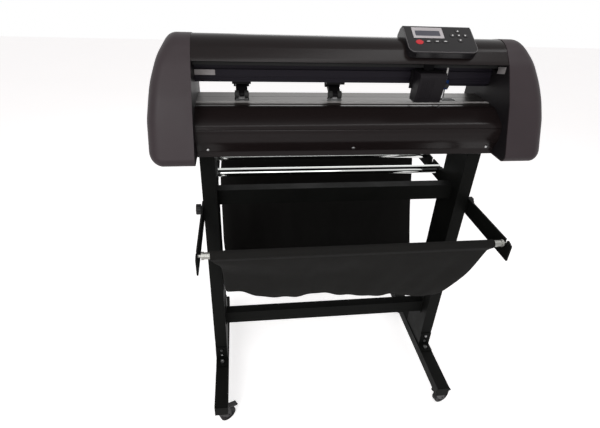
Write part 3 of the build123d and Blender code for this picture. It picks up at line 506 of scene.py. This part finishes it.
# ---- keypad ----
# A gloss black moulded console with a silver frame round its dark display, a red stop key, and
# black keys with a plain white mark on each. A thin light grey bead along the edge of its face is a painted
# highlight of that rounded edge.
console_plastic = coated(
    "console_plastic", (0.006, 0.005, 0.006), (0.011, 0.010, 0.011), (0.12, 0.2),
    grain=900, relief=0.00001, spec=0.22, dust=0.01,
)
finish(console_plastic, "keypad_case")
display_dark = coated(
    "display_dark", (0.045, 0.045, 0.060), (0.085, 0.085, 0.105), (0.08, 0.14),
    grain=700, relief=0.000005, stretch=(1, 0.3, 0.3), dust=0.0,
)
finish(display_dark, "lcd_window")
red_plastic = coated(
    "red_plastic", (0.42, 0.012, 0.018), (0.56, 0.03, 0.04), (0.2, 0.3),
    grain=1500, relief=0.00003,
)
finish(red_plastic, "red_button")
key_plastic = coated(
    "key_plastic", (0.008, 0.007, 0.008), (0.014, 0.013, 0.014), (0.32, 0.45),
    grain=1800, relief=0.00005,
)
pad_corner = np.array([0.115, -0.005, 1.1058])
key_proud = 1.0
mark_height = 0.12
pad_tilt = math.radians(30.4)
pad_along = np.array([1.0, 0.0, 0.0])
pad_down = np.array([0.0, -math.cos(pad_tilt), -math.sin(pad_tilt)])
pad_out = np.array([0.0, -math.sin(pad_tilt), math.cos(pad_tilt)])


def along(points, count):
    """A polyline at equal steps of length: length is summed, then each coordinate is interpolated on it."""
    steps = np.linalg.norm(np.diff(points, axis=0), axis=1)
    total = np.concatenate([[0.0], np.cumsum(steps)])
    wanted = np.linspace(0.0, total[-1], count)
    columns = [np.interp(wanted, total, points[:, k]) for k in range(points.shape[1])]
    return np.stack(columns, axis=1), total[-1]


def on_pad(x, down, height):
    """Points on the console's face, given in millimetres: corner + x along + down the slope + height out."""
    x, down, height = [part[..., None] for part in np.broadcast_arrays(x, down, height)]
    return pad_corner + (x * pad_along + down * pad_down + height * pad_out) / 1000.0


def round_rectangle(x0, x1, y0, y1, radius, count=8):
    """Outline points of a rectangle whose corners are quarter circles, in the turning sense from x to y."""
    turn = np.linspace(0.0, math.pi / 2, count)
    left, right, high, low = x0 + radius, x1 - radius, y0 + radius, y1 - radius
    parts = []
    for quarter, (cx, cy) in enumerate(((right, low), (left, low), (left, high), (right, high))):
        angle = turn + quarter * math.pi / 2
        parts.append(np.stack([cx + radius * np.cos(angle), cy + radius * np.sin(angle)], axis=1))
    return np.concatenate(parts)


def hoops(rings):
    """Skin that joins rings of equal point counts in order and the last to the first: a closed frame."""
    count = len(rings[0])
    index = np.arange(len(rings) * count).reshape(len(rings), count)
    there = np.roll(index, -1, axis=0)
    corners = [index, there, np.roll(there, -1, axis=1), np.roll(index, -1, axis=1)]
    quads = np.stack(corners, axis=2).reshape(-1, 4)
    return np.concatenate(rings), quads


def raised_mark(outline, height):
    """A flat mark with sloping sides: rings from its middle under it, out to its edge, up and back in."""
    middle = outline.mean(axis=0)
    steps = [(0.02, 0.0), (1.0, 0.0), (0.96, height), (0.02, height)]
    rings = [on_pad(*(middle + (outline - middle) * share).T, key_proud + lift) for share, lift in steps]
    return hoops(rings)


silver_paint = coated(
    "silver_paint", (0.36, 0.34, 0.35), (0.50, 0.48, 0.49), (0.28, 0.4),
    grain=2200, relief=0.00003, dust=0.0,
)
frame_edges = (18.3, 91.5, 5.6, 40.4)
frame_corner = 2.0
window_edges = (24.5, 83.5, 16.0, 33.4)
window_corner = 1.2
frame_steps = [(0.0, 0.3), (0.0, 1.0), (0.5, 1.3)]


def frame_ring(edges, inset, radius, height):
    """One ring of the display's frame: the edges moved inwards by inset, at a height over the face."""
    x0, x1, y0, y1 = edges
    outline = round_rectangle(x0 + inset, x1 - inset, y0 + inset, y1 - inset, radius)
    return on_pad(*outline.T, height)


frame_rings = [frame_ring(frame_edges, inset, frame_corner, height) for inset, height in frame_steps]
for inset, height in frame_steps[::-1]:
    frame_rings.append(frame_ring(window_edges, -inset, window_corner, height))
display_frame = mesh_piece("display_frame", *hoops(frame_rings), silver_paint, smooth_faces=False)
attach(display_frame, "machine")
legend_white = coated(
    "legend_white", (0.55, 0.55, 0.55), (0.68, 0.68, 0.68), (0.4, 0.5),
    grain=900, relief=0.00001, dust=0.0,
)
bar = round_rectangle(-3.6, 3.6, -1.1, 1.1, 1.0, 4)
dot = round_rectangle(-2.4, 2.4, -1.5, 1.5, 1.4, 4)
square = round_rectangle(-2.2, 2.2, -2.2, 2.2, 0.5, 4)
widening = 1.25 * (square[:, 1] + 2.4) / 4.6
pointed = np.stack([square[:, 0] * widening, square[:, 1]], axis=1)
marks = {
    "function_key_1": (50.5, 50.6, bar, 0.0),
    "function_key_2": (71.0, 50.6, bar, 0.0),
    "function_key_3": (91.0, 50.2, bar, 0.0),
    "arrow_up": (128.8, 15.0, pointed, 0.0),
    "arrow_left": (112.6, 29.4, pointed, 90.0),
    "enter_key": (128.6, 29.4, dot, 0.0),
    "arrow_right": (144.6, 29.4, pointed, -90.0),
    "arrow_down": (128.3, 45.4, pointed, 180.0),
}
finish(key_plastic, *marks)
for key, (x, down, shape, turned) in marks.items():
    swing = math.radians(-turned)
    spin = np.array([[math.cos(swing), -math.sin(swing)], [math.sin(swing), math.cos(swing)]])
    mark = raised_mark(shape @ spin.T + (x, down), mark_height)
    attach(mesh_piece(key + "_mark", *mark, legend_white, smooth_faces=False), key)


def bead(path, radius, half_sides=5):
    """Thin bead along a path: circles of the radius square to the path, the last ones shrunk and closed."""
    sides = 2 * half_sides
    way = np.gradient(path, axis=0)
    way /= np.linalg.norm(way, axis=1, keepdims=True)
    first = np.cross(way, pad_out)
    turn = np.linspace(0.0, 2 * math.pi, sides, endpoint=False)
    ring = first[:, None, :] * np.cos(turn)[:, None] + pad_out * np.sin(turn)[:, None]
    size = np.full(len(path), radius)
    size[[0, -1]] = radius * 0.05
    points = (path[:, None, :] + ring * size[:, None, None]).reshape(-1, 3)
    index = np.arange(len(points)).reshape(len(path), sides)
    after = np.roll(index, -1, axis=1)
    quads = np.stack([index[:-1], index[1:], after[1:], after[:-1]], axis=2).reshape(-1, 4)
    near = np.arange(half_sides - 1)
    first_end = np.stack([near, near + 1, sides - 2 - near, sides - 1 - near], axis=1)
    last_end = first_end[:, ::-1] + index[-1, 0]
    return points, np.concatenate([quads, first_end, last_end])


bead_r = 0.0010
bead_sunk = 0.9
face_left = 1.0
face_right = 163.0
face_front = 83.2
corner_points = 14
face_outline = round_rectangle(face_left, face_right, -40.0, face_front, 15.5, corner_points)
front_corners = face_outline[:2 * corner_points]
face_outline = np.concatenate([[(face_right, 4.0)], front_corners, [(face_left, 4.0)]])
rim_path, _ = along(on_pad(*face_outline.T, -bead_sunk), 200)
# Painted highlight: a light grey bead laid along the console's rounded edge stands in for its shine.
painted_edge_highlight = coated(
    "painted_edge_highlight", (0.05, 0.045, 0.047), (0.085, 0.08, 0.082), (0.2, 0.3),
    grain=900, relief=0.00001, spec=0.35, dust=0.0,
)
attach(mesh_piece("painted_highlight_rim", *bead(rim_path, bead_r), painted_edge_highlight), "machine")

# ---- electrics ----
# The control board stands on posts outside the left side plate; the inlet is let into the
# back of the right cap.
board_green = coated("board_green", (0.008, 0.08, 0.03), (0.012, 0.13, 0.045), (0.35, 0.5), grain=700)
finish(board_green, "mainboard")
inlet_plastic = coated(
    "inlet_plastic", (0.008, 0.008, 0.008), (0.014, 0.014, 0.014), (0.35, 0.5),
    grain=2000, relief=0.00008,
)
finish(inlet_plastic, "power_inlet")

# ---- stand ----
# Rectangular steel tube with a black powder coat: two uprights on feet, two cross tubes and
# the rear arms welded to the uprights.
powder_coat = coated(
    "powder_coat", (0.0028, 0.0030, 0.0027), (0.0055, 0.0058, 0.0053), (0.45, 0.6),
    grain=1300, relief=0.00018, spec=0.05, dust=0.004,
)
finish(powder_coat, "uprights", "stand_feet", "upper_crossbar", "lower_crossbar", "basket_arms")
bolt_steel = coated(
    "bolt_steel", (0.30, 0.30, 0.30), (0.48, 0.48, 0.48), (0.25, 0.4),
    grain=2500, metal=1.0,
)
finish(bolt_steel, "fixing_screws")

# ---- media rollers and basket rods ----
# Bright chromed steel tubes; the rollers turn in open notches, the rods carry the cloth.
chrome = coated(
    "chrome", (0.62, 0.64, 0.62), (0.7, 0.71, 0.7), (0.06, 0.12),
    grain=600, relief=0.00001, metal=1.0, stretch=(0.05, 1, 1), dust=0.02,
)
finish(chrome, "front_media_roller", "rear_media_roller")
rod_steel = coated(
    "rod_steel", (0.20, 0.20, 0.19), (0.32, 0.32, 0.30), (0.25, 0.38),
    grain=1500, relief=0.00003, metal=1.0, stretch=(0.05, 1, 1), dust=0.02,
)
finish(rod_steel, "basket_front_rod", "basket_rear_rod")

# ---- casters ----
# Black coated pressed-steel forks with black rubber wheels; the front pair has brake pedals.
fork_steel = coated(
    "fork_steel", (0.012, 0.011, 0.012), (0.03, 0.028, 0.03), (0.3, 0.45),
    grain=1500, relief=0.00004, metal=0.3, dust=0.02,
)
wheel_rubber = coated(
    "wheel_rubber", (0.006, 0.005, 0.006), (0.012, 0.011, 0.012), (0.5, 0.7),
    grain=1800, relief=0.0001,
)
for corner in ("left_front", "right_front", "left_rear", "right_rear"):
    finish(fork_steel, corner + "_caster_fork")
    finish(wheel_rubber, corner + "_caster_wheel")

# ---- basket cloth ----
# One long piece of black woven polyester. It is turned over into a sleeve round each rod and
# hangs between the rods as a deep trough, tucked in towards its left front corner.
rod_front = np.array([-0.260, 0.664])
rod_back = np.array([0.268, 0.694])
sleeve_r = 0.0096
cloth_thick = 0.0014


def smooth(values, width, rounds):
    """Running mean along the first axis, ends held, repeated some rounds."""
    for _ in range(rounds):
        padded = np.concatenate([np.repeat(values[:1], width, 0), values, np.repeat(values[-1:], width, 0)])
        sums = np.cumsum(np.concatenate([np.zeros_like(padded[:1]), padded]), axis=0)
        mean = (sums[2 * width + 1:] - sums[: -2 * width - 1]) / (2 * width + 1)
        mean[0] = values[0]
        mean[-1] = values[-1]
        values = mean
    return values


def round_arc(centre, radius, a0, a1, count):
    """Points at equal angles on a circle: centre + radius (cos a, sin a)."""
    turn = np.linspace(a0, a1, count)
    return centre + radius * np.stack([np.cos(turn), np.sin(turn)], axis=1)


def cloth_path():
    """Side view of the cloth from its front hem to its rear hem: sleeve, hanging trough, sleeve."""
    down_front = [(-0.246, 0.636), (-0.228, 0.598), (-0.184, 0.516), (-0.135, 0.424), (-0.098, 0.364)]
    bottom = [(-0.060, 0.322), (-0.015, 0.302), (0.035, 0.296), (0.085, 0.303), (0.125, 0.335)]
    up_back = [(0.165, 0.392), (0.205, 0.486), (0.238, 0.580), (0.256, 0.664)]
    trough = np.array(down_front + bottom + up_back)
    hang, _ = along(trough, 400)
    hang = smooth(hang, 14, 3)
    first = rod_front - hang[0]
    first = math.atan2(first[1], first[0])
    last = rod_back - hang[-1]
    last = math.atan2(last[1], last[0])
    front_sleeve = round_arc(rod_front, sleeve_r, first - math.pi / 2 - 0.25, first + math.pi / 2 + 0.25, 40)
    back_sleeve = round_arc(rod_back, sleeve_r, last - math.pi / 2 - 0.25, last + math.pi / 2 + 0.25, 40)
    inward = 0.0020
    front_hem = hang[:1] + (inward, 0.0)
    back_hem = hang[-1:] - (inward, 0.0)
    return np.concatenate([front_hem, front_sleeve, hang, back_sleeve, back_hem])


def slab(grid, thick):
    """Closed skin round a sheet: the grid moved half the thickness each way along its normals."""
    normal = np.cross(np.gradient(grid, axis=1), np.gradient(grid, axis=0))
    normal /= np.linalg.norm(normal, axis=2, keepdims=True) + 1e-12
    return sheet_skin(grid + normal * thick / 2, grid - normal * thick / 2)


rows_along = 420
columns_across = 150
side_path, cloth_length = along(cloth_path(), rows_along)
share = np.linspace(0.0, 1.0, rows_along)
across = np.linspace(-1.0, 1.0, columns_across)
places = [0.0, 0.085, 0.125, 0.20, 0.33, 0.50, 0.58, 0.66, 0.86, 0.94, 1.0]
left_reach = [0.336, 0.335, 0.320, 0.319, 0.318, 0.316, 0.318, 0.328, 0.330, 0.321, 0.321]
right_reach = [0.330, 0.330, 0.331, 0.333, 0.322, 0.316, 0.317, 0.321, 0.317, 0.311, 0.310]
left_edge = smooth(np.interp(share, places, left_reach)[:, None], 6, 2)
right_edge = smooth(np.interp(share, places, right_reach)[:, None], 12, 2)
cloth_x = across * np.where(across < 0, left_edge, right_edge)
path_y = np.repeat(side_path[:, :1], columns_across, 1)
path_z = np.repeat(side_path[:, 1:], columns_across, 1)
cloth_grid = np.stack([cloth_x, path_y, path_z], axis=2)
slope = np.gradient(side_path, axis=0)
slope /= np.linalg.norm(slope, axis=1, keepdims=True)
in_y = -slope[:, 1:]
in_z = slope[:, :1]
# free is 0 round both rods and 1 on the hanging cloth; front_only fades out past the bottom.
free = np.clip((share - 0.07) / 0.16, 0, 1) * np.clip((0.93 - share) / 0.16, 0, 1)
free = free * free * (3 - 2 * free)
u, v = np.meshgrid(across, share)
ripple = 0.0030 * np.sin(9.0 * u + 5.0 * v + 0.6)
ripple = ripple + 0.0018 * np.sin(17.0 * u - 11.0 * v + 2.0) + 0.0012 * np.sin(31.0 * u + 7.0 * v)
tuck_places = [-1.0, -0.8, -0.6, -0.45, 0.0, 0.45, 1.0]
tuck = np.interp(u, tuck_places, [0.043, 0.027, 0.015, 0.017, 0.017, 0.003, -0.004])
tuck = smooth(tuck.T, 7, 2).T
front_only = np.clip((0.62 - v) / 0.22, 0, 1)
inwards = free[:, None] * (ripple + tuck * front_only * front_only * (3 - 2 * front_only))
cloth_grid[:, :, 1] += inwards * in_y
cloth_grid[:, :, 2] += inwards * in_z
cloth_points, cloth_quads = slab(cloth_grid, cloth_thick)
length_along = np.repeat((share * cloth_length)[:, None], columns_across, 1)
cloth_uv = np.stack([cloth_x.ravel(), length_along.ravel()], axis=1)
cloth_uv = np.concatenate([cloth_uv, cloth_uv])
cloth_black = coated(
    "cloth_black", (0.0085, 0.0083, 0.0080), (0.0135, 0.0132, 0.0125), (0.8, 0.92),
    grain=3000, relief=0.0003, spec=0.05, dust=0.004,
)
basket_sheet = mesh_piece("basket_sheet", cloth_points, cloth_quads, cloth_black, cloth_uv)
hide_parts("basket_cloth")
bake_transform(basket_sheet)
